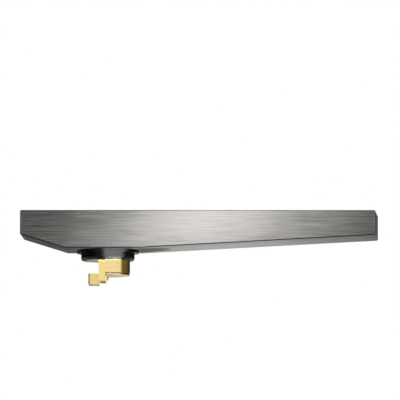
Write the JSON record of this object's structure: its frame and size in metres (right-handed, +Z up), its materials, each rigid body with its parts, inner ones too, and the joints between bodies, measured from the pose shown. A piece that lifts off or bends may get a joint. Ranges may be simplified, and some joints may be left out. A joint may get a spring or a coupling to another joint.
{
  "type": "linear shower drain",
  "caption": "Long narrow shower floor drain: hemmed steel tray with a sloped floor, flush brushed cover with a slot round it, rubber outlet seal and brass core with a counterweighted flap.",
  "frame": {"origin": "middle of the cover's top face, at finished floor level", "axes": "+X along the drain away from the outlet, +Y towards the back long side, +Z up out of the floor"},
  "size_m": [0.4, 0.08, 0.0817],
  "materials": {
    "gunmetal_steel": "brushed along the length, gunmetal grey",
    "brass": "satin turned and cast",
    "bright_steel": "satin",
    "black_rubber": "smooth, slightly glossy",
    "pad_plastic": "light grey, moulded"
  },
  "bodies": {
    "drain": {"tray": "gunmetal_steel", "outlet_spigot": "gunmetal_steel", "cover_panel": "gunmetal_steel", "cross_bar_1": "gunmetal_steel", "cross_bar_2": "gunmetal_steel", "cover_rib_1": "gunmetal_steel", "cover_rib_2": "gunmetal_steel", "cover_rib_3": "gunmetal_steel", "pipe_seal": "black_rubber", "core_body": "brass", "core_oring_upper": "black_rubber", "core_oring_lower": "black_rubber", "hinge_pin": "brass", "hair_strainer": "bright_steel", "strainer_handle": "bright_steel", "corner_pad_back_right": "pad_plastic", "corner_gusset_back_right": "gunmetal_steel", "corner_pad_back_left": "pad_plastic", "corner_gusset_back_left": "gunmetal_steel", "corner_pad_front_right": "pad_plastic", "corner_gusset_front_right": "gunmetal_steel", "corner_pad_front_left": "pad_plastic", "corner_gusset_front_left": "gunmetal_steel"},
    "flap": {"flap": "brass", "flap_gasket": "black_rubber", "gasket_retainer": "bright_steel", "flap_screws": "bright_steel", "counterweight": "brass", "counterweight_screw": "bright_steel"}
  },
  "joints": [
    {"name": "flap_hinge", "type": "hinge", "parent": "drain", "child": "flap", "pos_m": [-0.105, 0, -0.0763], "axis": [0, 1, 0], "range_deg": [0, 53]}
  ]
}
